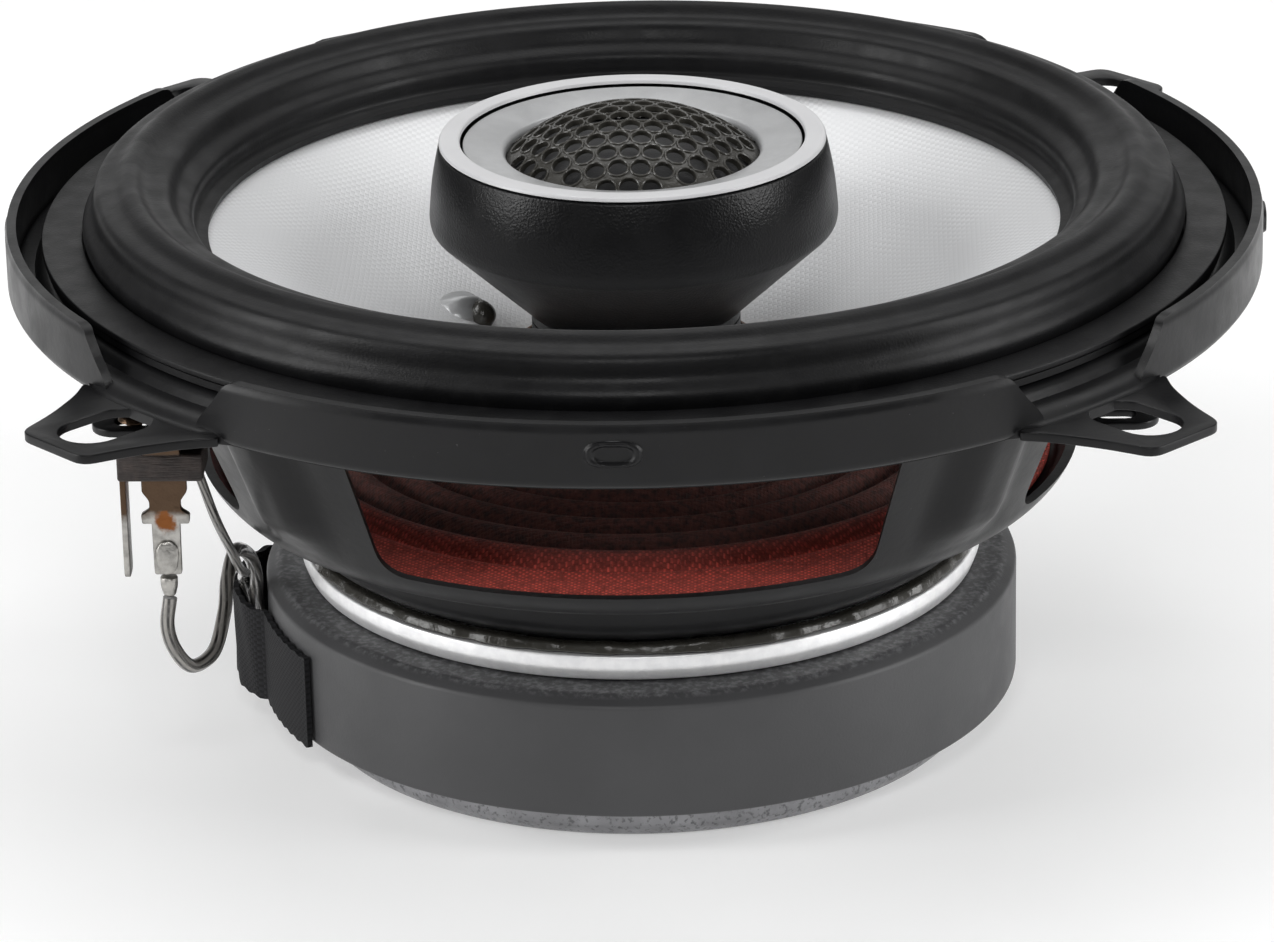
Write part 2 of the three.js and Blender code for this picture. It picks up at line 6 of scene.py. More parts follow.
import bmesh
import bpy
import numpy as np
from mathutils import Matrix, Vector


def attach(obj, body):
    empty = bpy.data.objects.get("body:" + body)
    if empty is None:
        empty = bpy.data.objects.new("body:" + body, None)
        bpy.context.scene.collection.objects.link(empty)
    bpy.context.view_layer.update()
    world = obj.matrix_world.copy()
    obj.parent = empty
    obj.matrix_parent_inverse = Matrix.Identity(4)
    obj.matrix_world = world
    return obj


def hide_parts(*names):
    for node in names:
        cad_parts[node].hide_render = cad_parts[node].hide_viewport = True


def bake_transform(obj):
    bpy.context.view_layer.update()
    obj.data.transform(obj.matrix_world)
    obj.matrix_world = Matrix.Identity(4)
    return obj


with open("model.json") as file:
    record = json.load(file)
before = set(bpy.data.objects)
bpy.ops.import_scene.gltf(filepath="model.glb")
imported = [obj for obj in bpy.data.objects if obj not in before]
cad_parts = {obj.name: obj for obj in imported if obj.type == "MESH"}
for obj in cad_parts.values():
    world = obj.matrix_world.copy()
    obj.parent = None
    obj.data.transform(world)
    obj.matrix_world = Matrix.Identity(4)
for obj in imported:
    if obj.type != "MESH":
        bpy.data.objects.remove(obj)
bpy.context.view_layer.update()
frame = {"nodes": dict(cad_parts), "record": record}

MM = 0.001
STEPS = 256  # faces round a turned piece
ROOT = "frame"
CONE = "cone_assembly"
DOME = "tweeter_diaphragm"

# Levels and radii shared by several pieces
PLATE_TOP = 4.3
MAGNET_R = 40.8
MAGNET_TOP = 17.9
TOP_PLATE_TOP = 20.9
BASE_Z = 21.1
LEDGE_Z = 29.2
TAB_BOTTOM = 51.6
TAB_TOP = 52.6
STEP_TOP = 53.6
SHELF_TOP = 54.8
RIM_R = 66.7
RIM_TOP = 58.4
SHEET = 1.0
TWEETER_TOP = 65.2
TERMINAL_X = -46.9
TERMINAL_Y = -39.3
BUNDLE_R = MAGNET_R + 1.05
LEAD_GLUE = (-17.9, 8.0, 42.6)


# Camera, lights and floor

def camera():
    azimuth, elevation, roll = (math.radians(a) for a in (2.17, 22.01, 1.23))
    target = Vector((-0.265, 0.0, 26.7)) * MM
    flat = math.cos(elevation)
    away = Vector((math.sin(azimuth) * flat, -math.cos(azimuth) * flat, math.sin(elevation)))
    data = bpy.data.cameras.new("camera")
    data.lens = 168.8
    data.sensor_width = 36.0
    data.clip_start = 0.01
    obj = bpy.data.objects.new("camera", data)
    bpy.context.collection.objects.link(obj)
    look = (-away).to_track_quat("-Z", "Y").to_matrix().to_4x4()
    obj.matrix_world = Matrix.Translation(target + away * 0.6475) @ look @ Matrix.Rotation(-roll, 4, "Z")
    bpy.context.scene.camera = obj


def softbox(name, place, size, power, aim=(0.0, 0.0, 35.0)):
    data = bpy.data.lights.new(name, "AREA")
    data.shape = "RECTANGLE"
    data.size, data.size_y = size[0] * MM, size[1] * MM
    data.energy = power
    obj = bpy.data.objects.new(name, data)
    bpy.context.collection.objects.link(obj)
    obj.location = Vector(place) * MM
    obj.rotation_euler = (Vector(aim) * MM - obj.location).to_track_quat("-Z", "Y").to_euler()


def studio():
    world = bpy.data.worlds.new("studio")
    world.use_nodes = True
    sky = world.node_tree
    direction = sky.nodes.new("ShaderNodeTexCoord").outputs["Generated"]
    parts = sky.nodes.new("ShaderNodeSeparateXYZ")
    depth = sky.nodes.new("ShaderNodeMapRange")
    sky.links.new(direction, parts.inputs[0])
    sky.links.new(parts.outputs[1], depth.inputs["Value"])
    for socket, value in (("From Min", -0.9), ("From Max", 0.2), ("To Min", 0.03), ("To Max", 0.19)):
        depth.inputs[socket].default_value = value
    sky.links.new(depth.outputs["Result"], sky.nodes["Background"].inputs["Strength"])
    sky.nodes["Background"].inputs["Color"].default_value = (1.0, 1.0, 1.0, 1.0)
    bpy.context.scene.world = world
    softbox("left_softbox", (-660, -200, 320), (260, 700), 4.4)
    softbox("right_softbox", (680, -160, 320), (260, 700), 3.9)
    softbox("top_softbox", (0, 320, 760), (900, 600), 3.0)
    softbox("back_softbox", (0, 900, 300), (1200, 400), 0.9)
    softbox("front_softbox", (0, -600, 470), (200, 70), 1.2, (0.0, -38.0, 32.0))
    bpy.context.scene.view_settings.view_transform = "Standard"


def floor():
    mesh = bpy.data.meshes.new("floor")
    half = 4.0  # metres
    corners = [(-half, -half, 0), (half, -half, 0), (half, half, 0), (-half, half, 0)]
    mesh.from_pydata(corners, [], [(0, 1, 2, 3)])
    obj = bpy.data.objects.new("floor", mesh)
    bpy.context.collection.objects.link(obj)
    shader = Shader("floor_paper", (0.70, 0.70, 0.70), 0.7)
    shader.set("Emission Color", (1.0, 1.0, 1.0, 1.0))
    shader.set("Emission Strength", 0.33)
    shader.mottle(0.02, 0.02)
    mesh.materials.append(shader.material)


# Materials

class Shader:
    """A Principled material, with short ways to add the nodes that give it its detail."""

    def __init__(self, name, colour, roughness, metallic=0.0, **sockets):
        self.material = bpy.data.materials.new(name)
        self.material.use_nodes = True
        self.tree = self.material.node_tree
        self.bsdf = self.tree.nodes["Principled BSDF"]
        self.colour = colour
        self.roughness = roughness
        self.set("Base Color", (*colour, 1.0))
        self.set("Roughness", roughness)
        self.set("Metallic", metallic)
        for socket, value in sockets.items():
            self.set(socket.replace("_", " "), value)
        coords = self.add("ShaderNodeTexCoord")
        self.mm = self.vector("MULTIPLY", coords.outputs["Object"], (1 / MM,) * 3)

    def set(self, socket, value):
        if isinstance(value, bpy.types.NodeSocket):
            self.tree.links.new(value, self.bsdf.inputs[socket])
        else:
            self.bsdf.inputs[socket].default_value = value

    def add(self, kind, inputs=(), **settings):
        node = self.tree.nodes.new(kind)
        for key, value in settings.items():
            setattr(node, key, value)
        for key, value in dict(inputs).items():
            if isinstance(value, bpy.types.NodeSocket):
                self.tree.links.new(value, node.inputs[key])
            else:
                node.inputs[key].default_value = value
        return node

    def math(self, operation, a, b=0.0):
        return self.add("ShaderNodeMath", {0: a, 1: b}, operation=operation).outputs[0]

    def vector(self, operation, a, b=(0.0, 0.0, 0.0)):
        return self.add("ShaderNodeVectorMath", {0: a, 1: b}, operation=operation).outputs[0]

    def axes(self):
        parts = self.add("ShaderNodeSeparateXYZ", {0: self.mm})
        return parts.outputs[0], parts.outputs[1], parts.outputs[2]

    def noise(self, scale, detail=3.0, vector=None):
        source = vector or self.mm
        inputs = {"Vector": source, "Scale": scale, "Detail": detail, "Roughness": 0.55}
        return self.add("ShaderNodeTexNoise", inputs).outputs["Fac"]

    def stretched(self, factors):
        return self.vector("MULTIPLY", self.mm, factors)

    def between(self, factor, low, high, to_low=0.0, to_high=1.0):
        inputs = {0: factor, 1: low, 2: high, 3: to_low, 4: to_high}
        return self.add("ShaderNodeMapRange", inputs, interpolation_type="SMOOTHSTEP").outputs[0]

    def mix(self, factor, a, b):
        node = self.add("ShaderNodeMix", {0: factor}, data_type="RGBA")
        for index, value in ((6, a), (7, b)):
            if isinstance(value, bpy.types.NodeSocket):
                self.tree.links.new(value, node.inputs[index])
            else:
                node.inputs[index].default_value = (*value, 1.0)
        return node.outputs[2]

    def tint(self, amount):
        return tuple(min(c * amount, 1.0) for c in self.colour)

    def mottle(self, scale, spread, roughness_spread=0.06):
        """Slow changes of colour and gloss over the surface."""
        patch = self.between(self.noise(scale, 5.0), 0.35, 0.65)
        self.shade = self.mix(patch, self.tint(1 - spread), self.tint(1 + spread))
        self.set("Base Color", self.shade)
        low, high = self.roughness - roughness_spread, self.roughness + roughness_spread
        self.set("Roughness", self.between(self.noise(scale * 3.1, 4.0), 0.3, 0.7, low, high))

    def bump(self, height, depth, strength=1.0):
        inputs = {"Height": height, "Distance": depth * MM, "Strength": strength}
        self.set("Normal", self.add("ShaderNodeBump", inputs).outputs["Normal"])

    def plain_weave(self, u, v, pitch):
        """(height, 1 where the first set of threads is on top) of a plain weave."""
        across = self.math("SINE", self.math("MULTIPLY", u, math.pi / pitch))
        along = self.math("SINE", self.math("MULTIPLY", v, math.pi / pitch))
        over = self.between(self.math("MULTIPLY", across, along), -0.25, 0.25)
        first = self.math("POWER", self.math("ABSOLUTE", across), 0.6)
        second = self.math("POWER", self.math("ABSOLUTE", along), 0.6)
        gain = self.math("MULTIPLY", self.math("SUBTRACT", first, second), over)
        return self.math("ADD", second, gain), over


def satin(name, colour, roughness, metallic=0.0, mottle=(0.05, 0.12), grain=(2.0, 0.02), **sockets):
    """A surface with slow mottling (scale, spread) and a fine grain (scale, depth)."""
    shader = Shader(name, colour, roughness, metallic, **sockets)
    shader.mottle(*mottle)
    shader.bump(shader.noise(grain[0], 4.0), grain[1])
    return shader


def black_paint():
    shader = satin("black_paint", (0.005, 0.005, 0.0055), 0.36, mottle=(0.06, 0.15), grain=(1.1, 0.02),
                   Specular_IOR_Level=0.25)
    dust = shader.between(shader.noise(2.3, 2.0), 0.74, 0.8)
    shader.set("Base Color", shader.mix(dust, shader.shade, (0.05, 0.05, 0.05)))
    return shader.material


def speckled_metal(name, colour, roughness, grain, depth):
    shader = satin(name, colour, roughness, 1.0, mottle=(0.25, 0.12), grain=(grain, depth))
    pits = shader.between(shader.noise(grain * 0.8, 3.0), 0.52, 0.66)
    shader.set("Base Color", shader.mix(pits, shader.shade, shader.tint(0.55)))
    return shader.material


def ferrite():
    shader = satin("ferrite", (0.046, 0.046, 0.048), 0.50, mottle=(0.04, 0.10), grain=(3.2, 0.02))
    z = shader.axes()[2]
    ground = shader.between(z, MAGNET_TOP - 0.5, MAGNET_TOP - 0.1)
    specks = shader.between(shader.noise(1.6, 4.0), 0.40, 0.70)
    pale = shader.mix(specks, (0.045, 0.045, 0.047), (0.13, 0.13, 0.135))
    shader.set("Base Color", shader.mix(ground, shader.shade, pale))
    return shader.material


def cone_weave():
    shader = Shader("cone_weave", (0.77, 0.775, 0.785), 0.45, 0.2)
    x, y, _ = shader.axes()
    height, over = shader.plain_weave(x, y, 0.5)
    threads = shader.mix(over, shader.tint(0.92), shader.tint(1.05))
    haze = shader.between(shader.noise(0.12, 4.0), 0.35, 0.65)
    shader.set("Base Color", shader.mix(haze, threads, shader.tint(0.97)))
    shader.set("Roughness", shader.between(height, 0.0, 1.0, 0.50, 0.40))
    shader.bump(height, 0.02)
    return shader.material


def spider_weave():
    """Cloth that is red on its flat outer edge and dark further in, over the corrugations: that darkness,
    set by radius, is partly the cloth's own colour and partly painted shade from the surround above.
    """
    shader = Shader("spider_weave", (0.80, 0.110, 0.075), 0.75)
    x, y, _ = shader.axes()
    height, over = shader.plain_weave(x, y, 0.36)
    uneven = shader.between(shader.noise(1.4, 4.0), 0.35, 0.7)
    threads = shader.mix(over, shader.tint(0.6), shader.tint(1.3))
    # The weave's low places fall to a fifth of the colour: painted shade between the threads.
    edge = shader.mix(uneven, shader.mix(height, shader.tint(0.2), threads), shader.tint(0.35))
    # Colour further in: partly the cloth's own darker tone, partly painted shade from the surround above.
    shaded_folds = shader.mix(uneven, (0.13, 0.040, 0.030), (0.05, 0.022, 0.018))
    squares = shader.math("ADD", shader.math("MULTIPLY", x, x), shader.math("MULTIPLY", y, y))
    # Mask by radius: 1 on the flat outer edge, which keeps the lit red, 0 further in, where the painted
    # shade is.
    flat = shader.between(shader.math("SQRT", squares), 35.5, 38.5)
    shader.set("Base Color", shader.mix(flat, shaded_folds, edge))
    shader.bump(height, 0.09)
    return shader.material


def rubber():
    shader = satin("black_rubber", (0.006, 0.006, 0.0065), 0.42, mottle=(0.08, 0.18), grain=(3.5, 0.03),
                   Specular_IOR_Level=0.20)
    bloom = shader.between(shader.noise(0.35, 6.0), 0.5, 0.8)
    shader.set("Base Color", shader.mix(bloom, shader.shade, (0.010, 0.010, 0.0105)))
    return shader.material


def moulded_plastic():
    shader = Shader("black_plastic", (0.005, 0.005, 0.0055), 0.36, Specular_IOR_Level=0.28)
    shader.mottle(0.08, 0.12, 0.04)
    cells = shader.add("ShaderNodeTexVoronoi", {"Vector": shader.mm, "Scale": 4.4}, feature="SMOOTH_F1")
    shader.bump(cells.outputs["Distance"], 0.035)
    return shader.material


def face_paint():
    shader = satin("face_paint", (0.44, 0.445, 0.45), 0.36, 0.4, mottle=(0.2, 0.05), grain=(7.0, 0.008))
    flakes = shader.between(shader.noise(9.0, 2.0), 0.62, 0.75)
    shader.set("Base Color", shader.mix(flakes, shader.shade, (0.55, 0.55, 0.56)))
    return shader.material


def trim_silver():
    shader = Shader("trim_silver", (0.58, 0.58, 0.59), 0.35)
    shader.mottle(0.15, 0.02, 0.02)
    return shader.material


def tape_cloth():
    shader = Shader("cloth_tape", (0.008, 0.008, 0.009), 0.8, Specular_IOR_Level=0.25)
    x, y, z = shader.axes()
    around = shader.math("MULTIPLY", shader.math("ARCTAN2", y, x), MAGNET_R)
    height, over = shader.plain_weave(around, z, 0.34)
    shader.set("Base Color", shader.mix(over, shader.tint(0.7), shader.tint(1.7)))
    shader.bump(height, 0.06)
    return shader.material


def stranded(name, light, dark, strands, pitch, **sockets):
    """Twisted strands, from the along and around values that tube() stores on its mesh."""
    shader = Shader(name, light, 0.30, 0.5, **sockets)
    along = shader.add("ShaderNodeAttribute", attribute_name="along").outputs["Fac"]
    around = shader.add("ShaderNodeAttribute", attribute_name="around").outputs["Fac"]
    turns = shader.math("MULTIPLY", around, float(strands))
    twist = shader.math("ADD", turns, shader.math("DIVIDE", along, pitch))
    wave = shader.math("SINE", shader.math("MULTIPLY", twist, 2 * math.pi))
    lift = shader.between(wave, -0.9, 0.5)
    grime = shader.between(shader.noise(0.5, 4.0), 0.4, 0.75)
    # Each strand goes from the light colour on its crest to the near-black dark colour in the grooves
    # between strands: painted shade.
    strand = shader.mix(lift, dark, light)
    shader.set("Base Color", shader.mix(grime, strand, shader.tint(0.6)))
    shader.bump(lift, 0.06)
    return shader.material


def pressed_board():
    shader = Shader("phenolic", (0.030, 0.021, 0.018), 0.62)
    shader.mottle(0.8, 0.35)
    layers = shader.noise(1.0, 3.0, shader.stretched((0.5, 0.5, 5.0)))
    shader.bump(layers, 0.25)
    return shader.material


def blade_metal():
    """Tinned brass, browned round the ears, with a burnt spot where the blade starts."""
    shader = satin("tinned_metal", (0.36, 0.35, 0.33), 0.34, 1.0, mottle=(0.8, 0.2), grain=(1.6, 0.10))
    browned = shader.between(shader.math("ADD", shader.axes()[2], shader.noise(1.2, 3.0)), 38.2, 39.4)
    brown = shader.mix(browned, shader.shade, (0.085, 0.055, 0.036))
    spot = shader.vector("SUBTRACT", shader.mm, (-46.9, -39.8, 37.6))
    reach = shader.add("ShaderNodeVectorMath", {0: spot}, operation="LENGTH").outputs["Value"]
    wobble = shader.math("ADD", reach, shader.math("MULTIPLY", shader.noise(1.3, 3.0), 1.6))
    burnt = shader.between(wobble, 2.2, 1.5)
    shader.set("Base Color", shader.mix(burnt, brown, (0.20, 0.075, 0.025)))
    return shader.material


def materials():
    return {
        "black_paint": black_paint(),
        "zinc_plated_steel": speckled_metal("zinc_plated_steel", (0.28, 0.28, 0.29), 0.40,
                                            grain=2.4, depth=0.05),
        "bright_steel": satin("bright_steel", (0.95, 0.95, 0.96), 0.42, 0.6,
                              mottle=(0.6, 0.05), grain=(3.0, 0.02)).material,
        "ferrite": ferrite(),
        "black_glue": satin("black_glue", (0.035, 0.033, 0.028), 0.25, grain=(0.9, 0.15)).material,
        "black_rubber": rubber(),
        "woven_cone": cone_weave(),
        "spider_cloth": spider_weave(),
        "former_film": satin("former_film", (0.12, 0.055, 0.02), 0.35, grain=(1.0, 0.02)).material,
        "copper": satin("copper", (0.72, 0.32, 0.16), 0.30, 1.0, grain=(3.0, 0.05)).material,
        "phenolic": pressed_board(),
        "tinned_metal": blade_metal(),
        # The second colour is the painted shade in the grooves between the strands.
        "clear_lead": stranded("clear_lead", (0.30, 0.285, 0.265), (0.008, 0.007, 0.006),
                               strands=7, pitch=9.0, Coat_Weight=0.8),
        "capacitor_sleeve": satin("capacitor_sleeve", (0.02, 0.05, 0.13), 0.35,
                                  grain=(1.5, 0.03)).material,
        "cloth_tape": tape_cloth(),
        "black_plastic": moulded_plastic(),
        "dome_cloth": satin("dome_cloth", (0.012, 0.012, 0.013), 0.70,
                            grain=(5.0, 0.06), Sheen_Weight=0.2).material,
        "face_paint": face_paint(),
        "trim_silver": trim_silver(),
    }


# Shapes: a geometry is (array of points, list of faces)

def eased(points, loop=True, steps=5):
    """Rounds each corner of [a, b, ease]. The curve starts ease away from the corner."""
    out = []
    count = len(points)
    for i, point in enumerate(points):
        here = np.array(point[:2], float)
        ease = point[2] if len(point) > 2 else 0.0
        if not ease or (not loop and i in (0, count - 1)):
            out.append(here)
            continue
        before = np.array(points[i - 1][:2], float) - here
        after = np.array(points[(i + 1) % count][:2], float) - here
        start = here + before / np.linalg.norm(before) * ease
        end = here + after / np.linalg.norm(after) * ease
        for t in np.linspace(0, 1, steps):
            out.append((1 - t) ** 2 * start + 2 * t * (1 - t) * here + t * t * end)
    return np.array(out)


def curve(points, steps):
    """Points on a centripetal Catmull-Rom curve through the given ones, evenly spaced."""
    p = np.array(points, float)
    p = np.vstack([2 * p[0] - p[1], p, 2 * p[-1] - p[-2]])
    fine = []
    for a, b, c, d in zip(p, p[1:], p[2:], p[3:]):
        t1, t2, t3 = np.cumsum([np.linalg.norm(v) ** 0.5 for v in (b - a, c - b, d - c)])
        for t in np.linspace(t1, t2, 24, endpoint=False):
            ab = a + (b - a) * t / t1
            bc = b + (c - b) * (t - t1) / (t2 - t1)
            cd = c + (d - c) * (t - t2) / (t3 - t2)
            abc = ab + (bc - ab) * t / t2
            bcd = bc + (cd - bc) * (t - t1) / (t3 - t1)
            fine.append(abc + (bcd - abc) * (t - t1) / (t2 - t1))
    fine.append(p[-2])
    fine = np.array(fine)
    run = np.concatenate([[0], np.cumsum(np.linalg.norm(np.diff(fine, axis=0), axis=1))])
    even = np.linspace(0, run[-1], steps + 1)
    return np.stack([np.interp(even, run, fine[:, k]) for k in range(fine.shape[1])], -1)


def sheet(line, thickness):
    """A closed profile of a sheet of even thickness, built to the left of the line."""
    line = np.array(line, float)
    edges = np.diff(line, axis=0)
    normals = np.stack([-edges[:, 1], edges[:, 0]], -1) / np.linalg.norm(edges, axis=1)[:, None]
    a, b = np.vstack([normals[:1], normals]), np.vstack([normals, normals[-1:]])
    scale = thickness / (1 + (a * b).sum(1))
    other = line + (a + b) * scale[:, None]
    return np.vstack([line, other[::-1]])


def lathe(profile, loop=True, steps=STEPS, change=None):
    """Turns a profile of [radius, z]. change(r, z, angle) can move its points."""
    profile = np.array(profile, float)
    count = len(profile)
    angle = np.linspace(0, 2 * np.pi, steps, endpoint=False)[:, None]
    r = np.repeat(profile[None, :, 0], steps, 0)
    z = np.repeat(profile[None, :, 1], steps, 0)
    if change:
        r, z = change(r, z, angle)
    points = np.stack([r * np.cos(angle), r * np.sin(angle), z], -1).reshape(-1, 3)
    faces = []
    for i in range(steps):
        near, far = i * count, (i + 1) % steps * count
        for j in range(count if loop else count - 1):
            k = (j + 1) % count
            faces.append((near + j, far + j, far + k, near + k))
    return points, faces


def turned(points, steps=STEPS, change=None):
    """A turned ring from eased corners."""
    return lathe(eased(points), True, steps, change)


def capped(points, steps=STEPS):
    """A turned solid whose profile starts and ends on the axis."""
    return lathe(eased(points, loop=False), False, steps)


def grid(points):
    """Faces over rows and columns of points, with the last row and column joined to the first."""
    rows, columns = points.shape[:2]
    faces = []
    for i in range(rows):
        for j in range(columns):
            k, m = (i + 1) % rows, (j + 1) % columns
            faces.append((i * columns + j, k * columns + j, k * columns + m, i * columns + m))
    return points.reshape(-1, 3), faces


def open_strip(skin):
    """A closed skin over a strip: like grid(), but with its two ends capped instead of joined."""
    points, faces = grid(skin)
    total, count = skin.shape[:2]
    faces = [f for f in faces if {f[0] % count, f[2] % count} != {0, count - 1}]
    for column in (0, count - 1):
        for i in range(total // 2 - 1):
            j = total - 1 - i
            rows = (i, i + 1, j - 1, j)
            faces.append(tuple(row * count + column for row in rows))
    return points, faces


def to_bmesh(geometry):
    points, faces = geometry
    mesh = bpy.data.meshes.new("made")
    mesh.from_pydata(np.asarray(points).tolist(), [], faces)
    bm = bmesh.new()
    bm.from_mesh(mesh)
    bpy.data.meshes.remove(mesh)
    bmesh.ops.remove_doubles(bm, verts=bm.verts, dist=1e-5)
    bmesh.ops.recalc_face_normals(bm, faces=bm.faces)
    return bm


def from_bmesh(bm):
    bm.verts.index_update()
    points = np.array([v.co[:] for v in bm.verts])
    faces = [tuple(v.index for v in f.verts) for f in bm.faces]
    bm.free()
    return points, faces


def plate(outline, bottom, top, holes=(), edge=0.0):
    """A flat plate of any outline, with holes, and its edges rounded by edge."""
    bm = bmesh.new()
    for loop in (outline, *holes):
        verts = [bm.verts.new((x, y, bottom)) for x, y in loop]
        for a, b in zip(verts, verts[1:] + verts[:1]):
            bm.edges.new((a, b))
    bmesh.ops.triangle_fill(bm, edges=bm.edges[:], use_beauty=True)
    bmesh.ops.dissolve_limit(bm, angle_limit=0.01, verts=bm.verts[:], edges=bm.edges[:])
    raised = bmesh.ops.extrude_face_region(bm, geom=bm.faces[:])
    for item in raised["geom"]:
        if isinstance(item, bmesh.types.BMVert):
            item.co.z = top
    bmesh.ops.recalc_face_normals(bm, faces=bm.faces)
    if edge:
        rims = [e for e in bm.edges if len(e.link_faces) == 2 and e.calc_face_angle() > 1.2
                and abs(e.verts[0].co.z - e.verts[1].co.z) < 1e-6]
        bmesh.ops.bevel(bm, geom=rims, offset=edge, segments=3, profile=0.5, affect="EDGES")
    return from_bmesh(bm)


def moved(geometry, matrix):
    points, faces = geometry
    m = np.array(matrix)
    return points @ m[:3, :3].T + m[:3, 3], faces


def spun(geometry, degrees):
    return moved(geometry, Matrix.Rotation(math.radians(degrees), 4, "Z"))


def shifted(geometry, x, y, z):
    return moved(geometry, Matrix.Translation((x, y, z)))


def together(*geometries):
    points, faces, start = [], [], 0
    for p, f in geometries:
        points.append(p)
        faces += [tuple(i + start for i in face) for face in f]
        start += len(p)
    return np.vstack(points), faces


def subtract(geometry, cutter):
    """Cuts one closed geometry out of another."""
    made = []
    for part in (geometry, cutter):
        bm = to_bmesh(part)
        mesh = bpy.data.meshes.new("cut")
        bm.to_mesh(mesh)
        bm.free()
        obj = bpy.data.objects.new("cut", mesh)
        bpy.context.collection.objects.link(obj)
        made.append(obj)
    body, tool = made
    knife = body.modifiers.new("cut", "BOOLEAN")
    knife.operation = "DIFFERENCE"
    knife.solver = "EXACT"
    knife.object = tool
    result = body.evaluated_get(bpy.context.evaluated_depsgraph_get()).to_mesh()
    points = np.array([v.co[:] for v in result.vertices])
    faces = [tuple(p.vertices) for p in result.polygons]
    for obj in made:
        bpy.data.objects.remove(obj)
    return points, faces


def outward(geometry):
    """Turns a plate drawn in (sideways, z) so that it faces +X, with its thickness along X."""
    turn = Matrix(((0, 0, 1, 0), (1, 0, 0, 0), (0, 1, 0, 0), (0, 0, 0, 1)))
    return moved(geometry, turn)


def bar(low, high, edge=0.15):
    (x0, y0, z0), (x1, y1, z1) = low, high
    corner = min(0.3, (x1 - x0) / 4, (y1 - y0) / 4)
    outline = eased([(x0, y0, corner), (x1, y0, corner), (x1, y1, corner), (x0, y1, corner)])
    return plate(outline, z0, z1, edge=edge)


def tube(route, radius, steps, sides=16):
    """(geometry, along, around): a tube on a smooth route, with surface values for its strands."""
    path = curve(route, steps)
    tangents = np.gradient(path, axis=0)
    tangents /= np.linalg.norm(tangents, axis=1)[:, None]
    side = np.cross(tangents[0], (0.3, 0.2, 0.9))
    rings = []
    angles = np.linspace(0, 2 * np.pi, sides, endpoint=False)
    for centre, tangent in zip(path, tangents):
        side = side - tangent * (side @ tangent)
        side /= np.linalg.norm(side)
        up = np.cross(tangent, side)
        rings.append(centre + radius * (np.cos(angles)[:, None] * side + np.sin(angles)[:, None] * up))
    points = np.vstack(rings)
    faces = []
    for i in range(steps):
        for j in range(sides):
            k = (j + 1) % sides
            faces.append((i * sides + j, i * sides + k, (i + 1) * sides + k, (i + 1) * sides + j))
    faces.append(tuple(range(sides))[::-1])
    faces.append(tuple(steps * sides + j for j in range(sides)))
    run = np.concatenate([[0], np.cumsum(np.linalg.norm(np.diff(path, axis=0), axis=1))])
    return (points, faces), np.repeat(run, sides), np.tile(angles / (2 * np.pi), steps + 1)


# Pieces

SLOTS = {part["node"]: part["material_slot"] for part in frame["record"]["subparts"]}
LOOKS = materials()


def piece(node, geometry, body=ROOT, suffix="look", sharp=38, look=None):
    """Puts a geometry in the scene in place of a CAD node, riding on a body."""
    bm = to_bmesh((np.asarray(geometry[0]) * MM, geometry[1]))
    mesh = bpy.data.meshes.new(f"{node}_{suffix}")
    bm.to_mesh(mesh)
    bm.free()
    mesh.shade_smooth()
    mesh.set_sharp_from_angle(angle=math.radians(sharp))
    mesh.materials.append(LOOKS[look or SLOTS[node]])
    obj = bpy.data.objects.new(f"{node}_{suffix}", mesh)
    bpy.context.collection.objects.link(obj)
    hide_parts(node)
    if body:
        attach(obj, body)
    return obj


def flexing(node, geometry):
    """A ring put in place of a CAD node, on no body, with its placement baked into its points."""
    obj = piece(node, geometry, body=None)
    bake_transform(obj)
    count = len(obj.data.vertices)
    points = np.empty(count * 3)
    obj.data.vertices.foreach_get("co", points)
    return obj


def smooth(value, low, high):
    t = np.clip((value - low) / (high - low), 0, 1)
    return t * t * (3 - 2 * t)


def four(make, start=0):
    return together(*[spun(make(), start + 90 * k) for k in range(4)])


# Motor

def motor():
    groove = spun(bar((1, -2.0, -1), (42, 2.0, 2.4), 0), -188)
    yoke = turned([
        (5.0, 0, 0.4), (35.6, 0, 0.8), (36.9, 1.5, 0.6), (36.9, PLATE_TOP, 0.15), (12.4, PLATE_TOP, 0.2),
        (12.4, 21.4, 0.4), (5.0, 21.4, 0.3),
    ])
    piece("back_plate_pole", subtract(yoke, groove))
    piece("ferrite_magnet", turned([
        (17, 4.5), (MAGNET_R, 4.5, 0.4), (MAGNET_R, 16.9, 0.35), (MAGNET_R - 1.5, MAGNET_TOP, 0.3),
        (17, MAGNET_TOP),
    ]))
    piece("top_plate", turned([
        (14.25, 18.1), (36.4, 18.1, 0.3), (36.9, 19.4, 0.3), (36.8, TOP_PLATE_TOP, 0.25),
        (14.25, TOP_PLATE_TOP),
    ]))

    def uneven(r, z, angle):
        wave = np.sin(9 * angle + 1) + np.sin(23 * angle + 2)
        wave = wave + 0.7 * np.sin(41 * angle) + 0.6 * np.sin(67 * angle + 4)
        top = smooth(z, 21.3, 21.9)
        return r + 0.10 * wave * smooth(r, 34.6, 36.0), z + 0.07 * wave * top
    bead = [(34.3, 21.1), (36.7, 21.1, 0.2), (36.3, 22.0, 0.3), (35.4, 22.1, 0.1)]
    piece("basket_glue_bead", turned(bead, 512, uneven))


# Basket

WINDOW = ((-24.9, 31.9), (24.9, 31.9), (29.2, 50.8), (-29.2, 50.8))
RIB_HEIGHT = 2.3


def ribs(r, z, angle):
    """Presses a rib outward along each arm, and ends the rim inside its walls except at the tabs."""
    from_arm = np.mod(angle, np.pi / 2) - np.pi / 4
    across = np.abs(from_arm) * r
    lift = smooth(across, 6.8, 1.5) * smooth(z, 31.2, 36.0) * smooth(z, 51.0, 47.5)
    beyond = np.clip(r - 65.4, 0, None)
    return r + RIB_HEIGHT * lift - 0.6 * beyond * smooth(np.abs(from_arm), 0.125, 0.165), z


